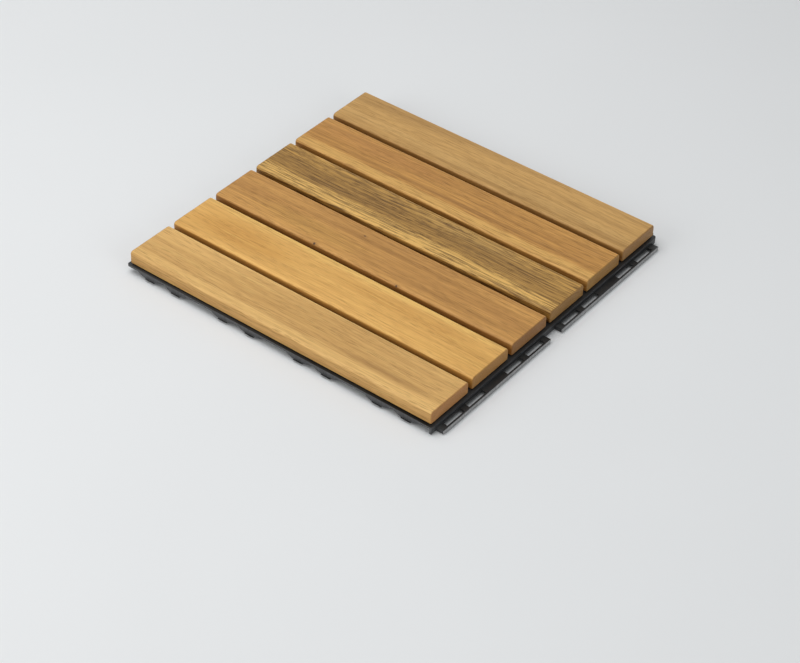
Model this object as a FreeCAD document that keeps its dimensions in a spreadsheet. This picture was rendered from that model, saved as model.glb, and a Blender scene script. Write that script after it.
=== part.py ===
import FreeCAD, Part
import math
import os
import Sketcher

# Interlocking deck tile: six hardwood slats screwed to a black moulded grid.
# Millimetres. X runs along the slats, Y across them, Z up from the ground.
# The origin is the middle of the tile on the ground.
# The grid's slotted flanges are on the +X and +Y sides, its hanging tabs on -X and -Y.

# Driving dimensions: name, value, meaning
SIZES = [
    ("slat_count", 6, "slats in the tile"),
    ("slat_width", 45, "width of one slat"),
    ("slat_gap", 5, "gap between slats, also between the slats of two laid tiles"),
    ("slat_thick", 11, "thickness of a slat"),
    ("slat_top_round", 2.5, "rounding of the two long top edges of a slat"),
    ("slat_arris", 0.8, "chamfer of the long lower edges and the top end edges of a slat"),
    ("base_height", 8.5, "ground to the underside of the slats"),
    ("wall_thick", 2, "thickness of the ribs and frame walls"),
    ("foot_height", 1.5, "ground to the underside of the ribs"),
    ("foot_width", 7, "side of a square foot"),
    ("lip_thick", 1.7, "thickness of the lip round the frame"),
    ("lip_drop", 1, "underside of the slats to the top of the lip"),
    ("lip_corner", 2, "corner radius of the lip"),
    ("frame_gap", 1, "gap between the lips of two laid tiles"),
    ("pair_count", 4, "pairs of tabs on a side, an even number"),
    ("tab_width", 24.5, "width of a tab at its root"),
    ("tab_gap", 2.3, "gap between the two tabs of a pair"),
    ("tab_thick", 2.2, "thickness of a tab"),
    ("tab_recess", 0.5, "outer face of a tab in from the edge of the lip"),
    ("tab_straight", 0.4, "straight side of a tab above its round edge"),
    ("tab_tip", 1.4, "ground to the tip of a tab"),
    ("catch_length", 9, "length of the catch across a tab"),
    ("catch_slope", 0.7, "height of the catch's sloping lead-in"),
    ("catch_bite", 0.1, "reach of the catch past the edge of the slot"),
    ("catch_clear", 0.2, "gap between the catch and the flange plate above it"),
    ("slot_clear", 1, "clearance on each face of a tab in its slot"),
    ("slot_end_clear", 0.5, "clearance at each end of a tab in its slot"),
    ("flange_top", 4, "ground to the top of the flange"),
    ("flange_thick", 1.6, "thickness of the flange plate"),
    ("flange_ledge", 1.6, "flange plate outside the slots"),
    ("flange_notch", 15, "gap between the two halves of a flange"),
    ("flange_inset", 7, "end of a flange to the corner of the tile's square"),
    ("flange_clear", 1, "flange edge to the frame wall of the next tile"),
    ("skirt_thick", 1.3, "thickness of the flange's outer and end walls"),
    ("skirt_bottom", 0.8, "ground to the lower edge of the flange's walls"),
    ("rim_foot_length", 9, "length of a foot under the flange's outer wall"),
    ("boss_width", 11, "side of a square screw boss"),
    ("screw_count", 2, "screws in each slat"),
    ("screw_inset", 35, "end of a slat to its first screw"),
    ("shank_width", 3.2, "diameter of a screw's shank"),
    ("shank_length", 12.5, "screw length under the head"),
    ("head_width", 7, "diameter of a screw's head"),
    ("head_height", 1.9, "height of a screw's head"),
    ("head_chamfer", 0.7, "chamfer round a screw's head"),
    ("seat_height", 3.5, "ground to the face that a screw's head bears on"),
    ("hole_clear", 0.2, "clearance round a screw in its boss"),
    ("pilot_clear", 0.1, "clearance round a screw in the wood"),
    ("pilot_spare", 0.5, "depth of a pilot hole past the screw's tip"),
]

# Places that follow from the driving dimensions: name, formula
LAYOUT = [
    ("slat_pitch", "=Sizes.slat_width + Sizes.slat_gap"),
    ("tile_pitch", "=Sizes.slat_count * slat_pitch"),
    ("slat_length", "=tile_pitch - Sizes.slat_gap"),
    ("first_slat", "=-(Sizes.slat_count - 1) / 2 * slat_pitch"),
    ("frame_half", "=(tile_pitch - Sizes.frame_gap) / 2"),
    ("lip_top", "=Sizes.base_height - Sizes.lip_drop"),
    ("lip_under", "=lip_top - Sizes.lip_thick"),
    ("tab_face", "=frame_half - Sizes.tab_recess"),
    ("tab_middle", "=tab_face - Sizes.tab_thick / 2"),
    ("tab_pitch", "=Sizes.tab_width + Sizes.tab_gap"),
    ("tab_shoulder", "=lip_under - Sizes.tab_straight"),
    ("pair_pitch", "=tile_pitch / Sizes.pair_count"),
    ("first_tab", "=-(Sizes.pair_count - 1) / 2 * pair_pitch - tab_pitch / 2"),
    ("tab_drop", "=tab_shoulder - Sizes.tab_tip"),
    ("tab_radius", "=((Sizes.tab_width / 2) ^ 2 + tab_drop ^ 2) / (2 * tab_drop)"),
    ("tab_dip", "=Sizes.flange_top - Sizes.tab_tip"),
    ("slot_half_length", "=sqrt(2 * tab_radius * tab_dip - tab_dip ^ 2) + Sizes.slot_end_clear"),
    ("slot_half_width", "=Sizes.tab_thick / 2 + Sizes.slot_clear"),
    ("slot_middle", "=tile_pitch - tab_middle"),
    ("flange_edge", "=slot_middle + slot_half_width + Sizes.flange_ledge"),
    ("flange_start", "=Sizes.flange_notch / 2"),
    ("flange_end", "=tile_pitch / 2 - Sizes.flange_inset"),
    ("flange_under", "=Sizes.flange_top - Sizes.flange_thick"),
    ("skirt_height", "=Sizes.flange_top - Sizes.skirt_bottom"),
    ("hollow_height", "=flange_under - Sizes.skirt_bottom"),
    ("hollow_edge", "=flange_edge - Sizes.skirt_thick"),
    ("catch_top", "=flange_under - Sizes.catch_clear"),
    ("catch_reach", "=slot_half_width + Sizes.catch_bite"),
    ("wall_outside", "=tile_pitch - flange_edge - Sizes.flange_clear"),
    ("wall_inside", "=wall_outside - Sizes.wall_thick"),
    ("wall_middle", "=wall_outside - Sizes.wall_thick / 2"),
    ("rim_wall_inside", "=tab_face - Sizes.wall_thick"),
    ("rim_wall_middle", "=tab_face - Sizes.wall_thick / 2"),
    ("rib_height", "=Sizes.base_height - Sizes.foot_height"),
    ("rib_pitch", "=slat_pitch / 2"),
    ("rib_count", "=2 * Sizes.slat_count - 1"),
    ("first_rib", "=-(rib_count - 1) / 2 * rib_pitch"),
    ("foot_count", "=Sizes.slat_count - 1"),
    ("first_foot", "=-(foot_count - 1) / 2 * slat_pitch"),
    ("first_screw", "=Sizes.screw_inset - slat_length / 2"),
    ("screw_pitch", "=-2 * first_screw / (Sizes.screw_count - 1)"),
    ("bore_width", "=Sizes.shank_width + 2 * Sizes.hole_clear"),
    ("pilot_width", "=Sizes.shank_width + 2 * Sizes.pilot_clear"),
    ("screw_top", "=Sizes.seat_height + Sizes.shank_length"),
    ("pilot_depth", "=screw_top + Sizes.pilot_spare - Sizes.base_height"),
]


# Nearness at which two places count as one
TOLERANCE = 0.001


def fill_sheet(doc, name, rows):
    """Spreadsheet with one aliased value or formula to a row."""
    sheet = doc.addObject("Spreadsheet::Sheet", name)
    for number, (alias, value, *meaning) in enumerate(rows, start=1):
        sheet.set(f"A{number}", alias)
        sheet.set(f"B{number}", str(value))
        sheet.setAlias(f"B{number}", alias)
        sheet.set(f"C{number}", " ".join(meaning))
    doc.recompute()
    return sheet


def origin_feature(body, role):
    """One of the body's own origin planes or axes."""
    return next(item for item in body.Origin.OriginFeatures if item.Role == role)


def value_of(thing, formula):
    """Number that a formula gives now."""
    return float(thing.evalExpression(formula))


def add_sketch(body, name, role, height="0"):
    """Sketch on an origin plane of the body, moved along the plane's normal by a formula."""
    sketch = body.newObject("Sketcher::SketchObject", name)
    sketch.AttachmentSupport = [(origin_feature(body, role), "")]
    sketch.MapMode = "FlatFace"
    sketch.setExpression("AttachmentOffset.Base.z", height)
    return sketch


def point_at(sketch, across, up):
    """Point of the sketch's plane at two formulas."""
    return FreeCAD.Vector(value_of(sketch, across), value_of(sketch, up), 0)


def add_rules(sketch, rules):
    """Add constraints at once. Each rule is a kind, what it holds and, for a dimension, its formula."""
    made = []
    for kind, where, formula in rules:
        size = (value_of(sketch, formula),) if formula else ()
        made.append(Sketcher.Constraint(kind, *where, *size))
    numbers = sketch.addConstraint(made)
    for number, (kind, where, formula) in zip(numbers, rules):
        if formula:
            sketch.setExpression(f"Constraints[{number}]", formula)


def point_rules(edge, end, across, up):
    """Rules that hold an edge's point at two formulas, measured from the sketch's origin."""
    return [("DistanceX", (-1, 1, edge, end), across), ("DistanceY", (-1, 1, edge, end), up)]


def add_outline(sketch, corners, arcs=None):
    """Closed outline through corners given as pairs of formulas.

    arcs gives, for the number of a corner, the middle point and the radius of an arc
    that leads from it to the next corner in place of a straight edge.
    """
    arcs = arcs or {}
    points = [point_at(sketch, *corner) for corner in corners]
    shapes = []
    for number, (start, end) in enumerate(zip(points, points[1:] + points[:1])):
        if number in arcs:
            shapes.append(Part.Arc(start, point_at(sketch, *arcs[number][:2]), end))
        else:
            shapes.append(Part.LineSegment(start, end))
    edges = list(sketch.addGeometry(shapes))
    rules = []
    ends = []
    for number, (edge, start) in enumerate(zip(edges, points)):
        turned = start.distanceToPoint(sketch.getPoint(edge, 1)) > TOLERANCE
        ends.append((edge, 2, 1) if turned else (edge, 1, 2))
        if number in arcs:
            rules.append(("Radius", (edge,), arcs[number][2]))
    for before, after, corner in zip(ends[-1:] + ends[:-1], ends, corners):
        rules.append(("Coincident", (before[0], before[2], after[0], after[1]), None))
        rules += point_rules(after[0], after[1], *corner)
    add_rules(sketch, rules)


def add_rectangle(sketch, left, right, low, high):
    """Closed rectangle between four formulas."""
    add_outline(sketch, [(left, low), (right, low), (right, high), (left, high)])


def add_square(sketch, half):
    """Closed square about the sketch's origin."""
    add_rectangle(sketch, f"-{half}", half, f"-{half}", half)


def add_circle(sketch, across, up, diameter):
    """Circle with its centre at two formulas."""
    centre = point_at(sketch, across, up)
    ring = Part.Circle(centre, FreeCAD.Vector(0, 0, 1), value_of(sketch, diameter) / 2)
    edge = sketch.addGeometry(ring)
    add_rules(sketch, point_rules(edge, 3, across, up) + [("Diameter", (edge,), diameter)])


def add_tongue(sketch, middle, width, root, shoulder, tip):
    """Tongue hanging from root, with straight sides to shoulder and one round edge down to tip."""
    left, right = f"{middle} - {width} / 2", f"{middle} + {width} / 2"
    depth = f"({shoulder} - {tip})"
    radius = f"(({width} / 2) ^ 2 + {depth} ^ 2) / (2 * {depth})"
    add_outline(sketch, [(right, root), (left, root), (left, shoulder), (right, shoulder)],
                {2: (middle, tip, radius)})


def add_ring(sketch, outer, inner):
    """Square ring about the sketch's origin."""
    add_square(sketch, outer)
    add_square(sketch, inner)


def counted(first, pitch, count):
    """Formulas of the places in a row."""
    return [f"({first} + {number} * {pitch})" for number in range(count)]


def add_feature(body, kind, name, sketch, length, **options):
    """Pad or Pocket of a sketch, its length set by a formula."""
    feature = body.newObject(f"PartDesign::{kind}", name)
    feature.Profile = sketch
    feature.setExpression("Length", length)
    for option, value in options.items():
        setattr(feature, option, value)
    body.Tip = feature
    return feature


def add_row(body, name, axis, spacing, count):
    """Pattern along an axis of the body, with a formula each for its spacing and its count."""
    row = body.newObject("PartDesign::LinearPattern", name)
    row.Direction = (origin_feature(body, axis), [""])
    row.Mode = "Spacing"
    row.setExpression("Offset", spacing)
    row.setExpression("Occurrences", count)
    return row


def add_quarter_turn(body, name):
    """Pattern that repeats on the side a quarter turn on."""
    turn = body.newObject("PartDesign::PolarPattern", name)
    turn.Axis = (origin_feature(body, "Z_Axis"), [""])
    turn.Mode = "Spacing"
    turn.Offset = 90
    turn.Occurrences = 2
    return turn


def add_mirror(body, name, plane):
    """Mirror in one of the body's origin planes."""
    mirror = body.newObject("PartDesign::Mirrored", name)
    mirror.MirrorPlane = (origin_feature(body, plane), [""])
    return mirror


def add_copies(body, name, originals, patterns):
    """Copies of features by several patterns in turn."""
    copies = body.newObject("PartDesign::MultiTransform", name)
    copies.Originals = originals
    copies.Transformations = patterns
    body.Tip = copies
    return copies


def screw_rows(body, name):
    """Patterns that lead from the first screw's place to all of them."""
    return [add_row(body, f"{name}Along", "X_Axis", "Layout.screw_pitch", "Sizes.screw_count"),
            add_row(body, f"{name}Across", "Y_Axis", "Layout.slat_pitch", "Sizes.slat_count")]


def edges_where(shape, test):
    """Names of the edges of a shape that pass a test."""
    return [f"Edge{number}" for number, edge in enumerate(shape.Edges, start=1) if test(edge)]


def add_edge_form(body, kind, name, base, test, **formulas):
    """Fillet or Chamfer of the edges of a feature that pass a test, with its sizes set by formulas."""
    body.Document.recompute()
    form = body.newObject(f"PartDesign::{kind}", name)
    form.Base = (base, edges_where(base.Shape, test))
    for size, formula in formulas.items():
        form.setExpression(size, formula)
    body.Tip = form
    return form


def new_body(doc, label):
    """Empty body of one sub-part."""
    body = doc.addObject("PartDesign::Body", label)
    body.Label = label
    return body


def build_frame(body, sizes, layout):
    """Outer wall of the grid, with a lip that stands out round it below the slats."""
    wall = add_sketch(body, "WallSketch", "XY_Plane", "Sizes.foot_height")
    add_ring(wall, "Layout.wall_outside", "Layout.wall_inside")
    add_feature(body, "Pad", "Wall", wall, "Layout.rib_height")
    lip = add_sketch(body, "LipSketch", "XY_Plane", "Layout.lip_under")
    add_ring(lip, "Layout.frame_half", "Layout.wall_inside")
    lip_pad = add_feature(body, "Pad", "Lip", lip, "Sizes.lip_thick")
    reach = layout.frame_half * math.sqrt(2)

    def is_outer_corner(edge):
        low, high = [vertex.Point for vertex in edge.Vertexes]
        return abs(low.z - high.z) > TOLERANCE and abs(math.hypot(low.x, low.y) - reach) < TOLERANCE

    add_edge_form(body, "Fillet", "LipCorners", lip_pad, is_outer_corner, Radius="Sizes.lip_corner")


def build_ribs(body, name, count, runs_along):
    """Ribs one way across the grid, under the slats' middles and under the gaps between them."""
    half = "Sizes.wall_thick / 2"
    ends = ("-Layout.wall_middle", "Layout.wall_middle")
    sketch = add_sketch(body, f"{name}Sketch", "XY_Plane", "Sizes.foot_height")
    for place in counted("Layout.first_rib", "Layout.rib_pitch", count):
        sides = (f"{place} - {half}", f"{place} + {half}")
        add_rectangle(sketch, *(ends + sides if runs_along else sides + ends))
    add_feature(body, "Pad", name, sketch, "Layout.rib_height")


def build_long_ribs(body, sizes, layout):
    """Ribs along the slats, which carry the screw bosses."""
    build_ribs(body, "LongRibs", int(layout.rib_count), True)


def build_cross_ribs(body, sizes, layout):
    """Ribs across the slats."""
    build_ribs(body, "CrossRibs", int(layout.rib_count), False)


def build_webs(body, sizes, layout):
    """Webs under the lip, from the grid out to the walls that carry the flanges."""
    web = add_sketch(body, "WebSketch", "XY_Plane", "Sizes.foot_height")
    add_rectangle(web, "Layout.wall_middle", "Layout.rim_wall_middle",
                  "Layout.first_rib - Sizes.wall_thick / 2", "Layout.first_rib + Sizes.wall_thick / 2")
    web_pad = add_feature(body, "Pad", "Web", web,
                          "Layout.lip_under - Sizes.foot_height + Sizes.lip_thick / 2")
    row = add_row(body, "WebRow", "Y_Axis", "Layout.rib_pitch", "Layout.rib_count")
    add_copies(body, "Webs", [web_pad], [row, add_quarter_turn(body, "WebTurn")])


def build_flanges(body, sizes, layout):
    """Slotted flange halves on the +X and +Y sides, hollow beneath, that take the next tile's tabs."""
    pairs = int(sizes.pair_count)
    wall = add_sketch(body, "RimWallSketch", "XY_Plane", "Sizes.skirt_bottom")
    add_rectangle(wall, "Layout.rim_wall_inside", "Layout.tab_face", "0", "Layout.tab_face")
    wall_pad = add_feature(body, "Pad", "RimWall", wall, "Layout.lip_top - Sizes.skirt_bottom")

    block = add_sketch(body, "FlangeSketch", "XY_Plane", "Sizes.skirt_bottom")
    add_rectangle(block, "Layout.rim_wall_middle", "Layout.flange_edge",
                  "Layout.flange_start", "Layout.flange_end")
    block_pad = add_feature(body, "Pad", "Flange", block, "Layout.skirt_height")

    hollow = add_sketch(body, "FlangeHollowSketch", "XY_Plane", "Sizes.skirt_bottom")
    slot = add_sketch(body, "FlangeSlotSketch", "XY_Plane", "Layout.flange_under")
    feet = add_sketch(body, "RimFeetSketch", "YZ_Plane", "Layout.hollow_edge")
    for number in range(pairs):
        side = -1 if number % 2 == 0 else 1
        pair = f"({number // 2} + 0.5) * Layout.pair_pitch"
        near = f"{pair} + {side} * Sizes.skirt_thick / 2"
        far = f"{pair} + {side} * (Layout.pair_pitch - Sizes.skirt_thick) / 2"
        if number == 0:
            far = "Layout.flange_start + Sizes.skirt_thick"
        if number == pairs - 1:
            far = "Layout.flange_end - Sizes.skirt_thick"
        low, high = (far, near) if side < 0 else (near, far)
        add_rectangle(hollow, "Layout.tab_face", "Layout.hollow_edge", low, high)
        middle = f"{pair} + {side} * Layout.tab_pitch / 2"
        add_rectangle(slot, "Layout.slot_middle - Layout.slot_half_width",
                      "Layout.slot_middle + Layout.slot_half_width",
                      f"{middle} - Layout.slot_half_length", f"{middle} + Layout.slot_half_length")
    foot_middles = [f"({pair} + 0.5) * Layout.pair_pitch" for pair in range(pairs // 2)]
    foot_middles.append("Layout.flange_end - Sizes.rim_foot_length / 2")
    for middle in foot_middles:
        add_tongue(feet, middle, "Sizes.rim_foot_length", "Layout.flange_under", "Sizes.skirt_bottom", "0")
    hollow_cut = add_feature(body, "Pocket", "FlangeHollow", hollow, "Layout.hollow_height", Reversed=True)
    slot_cut = add_feature(body, "Pocket", "FlangeSlots", slot, "Sizes.flange_thick", Reversed=True)
    feet_pad = add_feature(body, "Pad", "RimFeet", feet, "Sizes.skirt_thick")
    add_copies(body, "Flanges", [wall_pad, block_pad, hollow_cut, slot_cut, feet_pad],
               [add_mirror(body, "FlangeMirror", "XZ_Plane"), add_quarter_turn(body, "FlangeTurn")])


def build_tabs(body, sizes, layout):
    """Round-edged tabs in pairs that hang from the lip on the -X and -Y sides, each with a catch."""
    tab = add_sketch(body, "TabSketch", "YZ_Plane", "-Layout.tab_face")
    add_tongue(tab, "Layout.first_tab", "Sizes.tab_width", "Layout.lip_top - Sizes.lip_thick / 2",
               "Layout.tab_shoulder", "Sizes.tab_tip")
    tab_pad = add_feature(body, "Pad", "Tab", tab, "Sizes.tab_thick")
    catch = add_sketch(body, "CatchSketch", "XZ_Plane", "-Layout.first_tab")
    add_outline(catch, [
        ("-Layout.tab_middle - Layout.catch_reach", "Layout.catch_top"),
        ("-Layout.tab_middle - Sizes.tab_thick / 2", "Layout.catch_top - Sizes.catch_slope"),
        ("-Layout.tab_middle + Sizes.tab_thick / 2", "Layout.catch_top - Sizes.catch_slope"),
        ("-Layout.tab_middle + Layout.catch_reach", "Layout.catch_top"),
    ])
    catch_pad = add_feature(body, "Pad", "Catch", catch, "Sizes.catch_length", Midplane=True)
    add_copies(body, "Tabs", [tab_pad, catch_pad], [
        add_row(body, "TabPair", "Y_Axis", "Layout.tab_pitch", "2"),
        add_row(body, "TabRow", "Y_Axis", "Layout.pair_pitch", "Sizes.pair_count"),
        add_quarter_turn(body, "TabTurn"),
    ])


def build_bosses(body, sizes, layout):
    """Square bosses on the ribs, each with a bore and, below, a seat for the screw's head."""
    boss = add_sketch(body, "BossSketch", "XY_Plane", "Sizes.seat_height")
    seat = add_sketch(body, "SeatSketch", "XY_Plane", "Sizes.foot_height")
    bore = add_sketch(body, "BoreSketch", "XY_Plane", "Sizes.seat_height")
    half = "Sizes.boss_width / 2"
    for across in counted("Layout.first_slat", "Layout.slat_pitch", int(sizes.slat_count)):
        for along in counted("Layout.first_screw", "Layout.screw_pitch", int(sizes.screw_count)):
            sides = (f"{along} - {half}", f"{along} + {half}", f"{across} - {half}", f"{across} + {half}")
            add_rectangle(boss, *sides)
            add_rectangle(seat, *sides)
            add_circle(bore, along, across, "Layout.bore_width")
    add_feature(body, "Pad", "Bosses", boss, "Sizes.base_height - Sizes.seat_height")
    add_feature(body, "Pocket", "Seats", seat, "Sizes.seat_height - Sizes.foot_height", Reversed=True)
    add_feature(body, "Pocket", "Bores", bore, "Sizes.base_height - Sizes.seat_height", Reversed=True)


def build_feet(body, sizes, layout):
    """Square feet where the ribs cross under the gaps between slats."""
    foot = add_sketch(body, "FootSketch", "XY_Plane")
    half = "Sizes.foot_width / 2"
    places = counted("Layout.first_foot", "Layout.slat_pitch", int(layout.foot_count))
    for along in places:
        for across in places:
            add_rectangle(foot, f"{along} - {half}", f"{along} + {half}",
                          f"{across} - {half}", f"{across} + {half}")
    add_feature(body, "Pad", "Feet", foot, "Sizes.foot_height")


def make_base_grid(doc, sizes, layout):
    """The moulded grid that carries the slats and locks to the next tiles."""
    body = new_body(doc, "base_grid")
    for build in (build_frame, build_flanges, build_webs, build_tabs,
                  build_long_ribs, build_bosses, build_feet, build_cross_ribs):
        build(body, sizes, layout)
        doc.recompute()
    return body


def make_slat(doc, number):
    """One slat with rounded top edges and blind pilot holes from below, laid across its ribs."""
    body = new_body(doc, f"slat_{number + 1}")
    section = add_sketch(body, f"SlatSection{number}", "YZ_Plane", "-Layout.slat_length / 2")
    add_rectangle(section, "-Sizes.slat_width / 2", "Sizes.slat_width / 2", "0", "Sizes.slat_thick")
    board = add_feature(body, "Pad", f"Slat{number}", section, "Layout.slat_length")
    thick = value_of(body, "Sizes.slat_thick")

    def is_long_at(height):
        def test(edge):
            start, end = [vertex.Point for vertex in edge.Vertexes]
            off = max(abs(start.z - height), abs(end.z - height))
            return abs(start.x - end.x) > TOLERANCE and off < TOLERANCE
        return test

    def is_top_end(edge):
        start, end = [vertex.Point for vertex in edge.Vertexes]
        return abs(start.x - end.x) < TOLERANCE and min(start.z, end.z) > thick - TOLERANCE

    top = add_edge_form(body, "Fillet", f"TopRound{number}", board, is_long_at(thick),
                        Radius="Sizes.slat_top_round")
    add_edge_form(body, "Chamfer", f"Arris{number}", top,
                  lambda edge: is_long_at(0)(edge) or is_top_end(edge), Size="Sizes.slat_arris")
    pilot = add_sketch(body, f"PilotSketch{number}", "XY_Plane")
    add_circle(pilot, "Layout.first_screw", "0", "Layout.pilot_width")
    pilot_cut = add_feature(body, "Pocket", f"Pilot{number}", pilot, "Layout.pilot_depth", Reversed=True)
    pilots = add_row(body, f"Pilots{number}", "X_Axis", "Layout.screw_pitch", "Sizes.screw_count")
    pilots.Originals = [pilot_cut]
    body.Tip = pilots
    body.setExpression("Placement.Base.y", f"Layout.first_slat + {number} * Layout.slat_pitch")
    body.setExpression("Placement.Base.z", "Sizes.base_height")
    return body


def make_screws(doc):
    """Pan-head wood screws, each a solid of its own, driven up through the bosses into the slats."""
    body = new_body(doc, "screws")
    body.AllowCompound = True
    half = add_sketch(body, "ScrewSection", "XZ_Plane")
    low, shank = "Sizes.seat_height - Sizes.head_height", "Sizes.shank_width / 2"
    add_outline(half, [
        ("0", low),
        ("Sizes.head_width / 2 - Sizes.head_chamfer", low),
        ("Sizes.head_width / 2", f"{low} + Sizes.head_chamfer"),
        ("Sizes.head_width / 2", "Sizes.seat_height"),
        (shank, "Sizes.seat_height"),
        (shank, "Layout.screw_top"),
        ("0", "Layout.screw_top"),
    ])
    doc.recompute()
    screw = body.newObject("PartDesign::Revolution", "Screw")
    screw.Profile = half
    screw.ReferenceAxis = (half, ["V_Axis"])
    screw.Angle = 360
    body.Tip = screw
    add_copies(body, "Screws", [screw], screw_rows(body, "Screw"))
    body.setExpression("Placement.Base.x", "Layout.first_screw")
    body.setExpression("Placement.Base.y", "Layout.first_slat")
    return body


def check_document(doc, bodies):
    """Stop if any object failed or any sub-part's shape is missing or unsound."""
    for item in doc.Objects:
        if "Invalid" in item.State or "Error" in item.State:
            raise RuntimeError(f"{item.Label} failed: {item.State}")
    for body in bodies:
        if body.Shape.isNull() or not body.Shape.isValid():
            raise RuntimeError(f"{body.Label} has no sound shape")


doc = FreeCAD.newDocument("deck_tile")
sizes = fill_sheet(doc, "Sizes", SIZES)
layout = fill_sheet(doc, "Layout", LAYOUT)
bodies = [make_base_grid(doc, sizes, layout)]
bodies += [make_slat(doc, number) for number in range(int(sizes.slat_count))]
bodies.append(make_screws(doc))
doc.recompute()
check_document(doc, bodies)
os.makedirs("parts", exist_ok=True)
for body in bodies:
    body.Shape.exportStep(f"parts/{body.Label}.step")
    box = body.Shape.BoundBox
    print(body.Label, len(body.Shape.Solids), "solids", round(body.Shape.Volume, 1),
          [round(value, 2) for value in (box.XMin, box.XMax, box.YMin, box.YMax, box.ZMin, box.ZMax)])
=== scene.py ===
"""Looks of a square deck tile: six oiled hardwood slats on a black moulded grid.

Metres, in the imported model's own frame: X along the slats, Y across them, Z up, ground at zero.
"""

import logging
import math
from dataclasses import dataclass, field
from enum import Enum
from typing import Any, Union

import bmesh
import bpy
from mathutils import Matrix, Vector


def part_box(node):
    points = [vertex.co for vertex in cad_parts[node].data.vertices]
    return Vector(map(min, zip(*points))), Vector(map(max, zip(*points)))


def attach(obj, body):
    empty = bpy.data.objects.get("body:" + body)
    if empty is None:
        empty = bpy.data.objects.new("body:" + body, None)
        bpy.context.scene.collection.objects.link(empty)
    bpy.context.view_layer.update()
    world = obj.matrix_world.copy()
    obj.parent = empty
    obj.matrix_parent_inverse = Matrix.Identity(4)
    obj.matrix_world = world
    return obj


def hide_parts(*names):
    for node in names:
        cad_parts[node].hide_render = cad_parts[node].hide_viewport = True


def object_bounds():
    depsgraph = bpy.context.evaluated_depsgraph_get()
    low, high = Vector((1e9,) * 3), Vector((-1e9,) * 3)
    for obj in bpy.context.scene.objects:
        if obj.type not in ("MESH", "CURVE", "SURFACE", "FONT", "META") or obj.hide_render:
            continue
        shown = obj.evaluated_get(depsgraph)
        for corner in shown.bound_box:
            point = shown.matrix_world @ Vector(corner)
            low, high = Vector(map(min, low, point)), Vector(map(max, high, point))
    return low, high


LOG = logging.getLogger("deck_tile")
MM = 0.001
Place = tuple[float, float, float]
Colour = tuple[float, float, float]
Number = Union[float, "Value"]

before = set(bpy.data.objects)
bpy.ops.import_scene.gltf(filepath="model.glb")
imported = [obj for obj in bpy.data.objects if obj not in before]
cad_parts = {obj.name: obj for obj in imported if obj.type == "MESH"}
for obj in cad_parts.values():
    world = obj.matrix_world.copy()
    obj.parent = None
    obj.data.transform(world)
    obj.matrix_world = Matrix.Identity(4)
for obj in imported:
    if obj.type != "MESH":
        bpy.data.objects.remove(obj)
CAD_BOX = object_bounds()


class Finish(Enum):
    """Names of the record's material slots."""

    MOULDING = "moulding"
    TAN = "wood_tan"
    GOLDEN = "wood_golden"
    RED = "wood_red"
    OLIVE = "wood_olive"
    ORANGE = "wood_orange"
    KHAKI = "wood_khaki"
    STEEL = "screw_steel"


class Value:
    """Output of a node, which is worked with as a number is."""

    def __init__(self, nodes: "Nodes", socket: bpy.types.NodeSocket) -> None:
        """Wrap an output.

        Args:
            nodes: Tree that holds the output's node.
            socket: The output.
        """
        self.nodes = nodes
        self.socket = socket

    def __add__(self, other: Number) -> "Value":
        """Sum."""
        return self.nodes.maths("ADD", self, other)

    def __radd__(self, other: Number) -> "Value":
        """Sum, reflected."""
        return self.nodes.maths("ADD", other, self)

    def __sub__(self, other: Number) -> "Value":
        """Difference."""
        return self.nodes.maths("SUBTRACT", self, other)

    def __rsub__(self, other: Number) -> "Value":
        """Difference, reflected."""
        return self.nodes.maths("SUBTRACT", other, self)

    def __mul__(self, other: Number) -> "Value":
        """Product."""
        return self.nodes.maths("MULTIPLY", self, other)

    def __rmul__(self, other: Number) -> "Value":
        """Product, reflected."""
        return self.nodes.maths("MULTIPLY", other, self)

    def __truediv__(self, other: Number) -> "Value":
        """Quotient."""
        return self.nodes.maths("DIVIDE", self, other)

    def clamped(self) -> "Value":
        """The number kept between 0 and 1."""
        return self.nodes.node("ShaderNodeClamp", {}, {"Value": self}).out("Result")

    def ramp(self, low: float, high: float) -> "Value":
        """Smooth step between two numbers.

        Args:
            low: Number that gives 0.
            high: Number that gives 1.

        Returns:
            The step.
        """
        step = self.nodes.node(
            "ShaderNodeMapRange", {"interpolation_type": "SMOOTHSTEP"},
            {"Value": self, "From Min": low, "From Max": high},
        )
        return step.out("Result")


@dataclass
class Made:
    """Node just made, whose outputs are read by name."""

    nodes: "Nodes"
    node: bpy.types.Node

    def out(self, name: str) -> Value:
        """Output by its name."""
        return Value(self.nodes, self.node.outputs[name])


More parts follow.
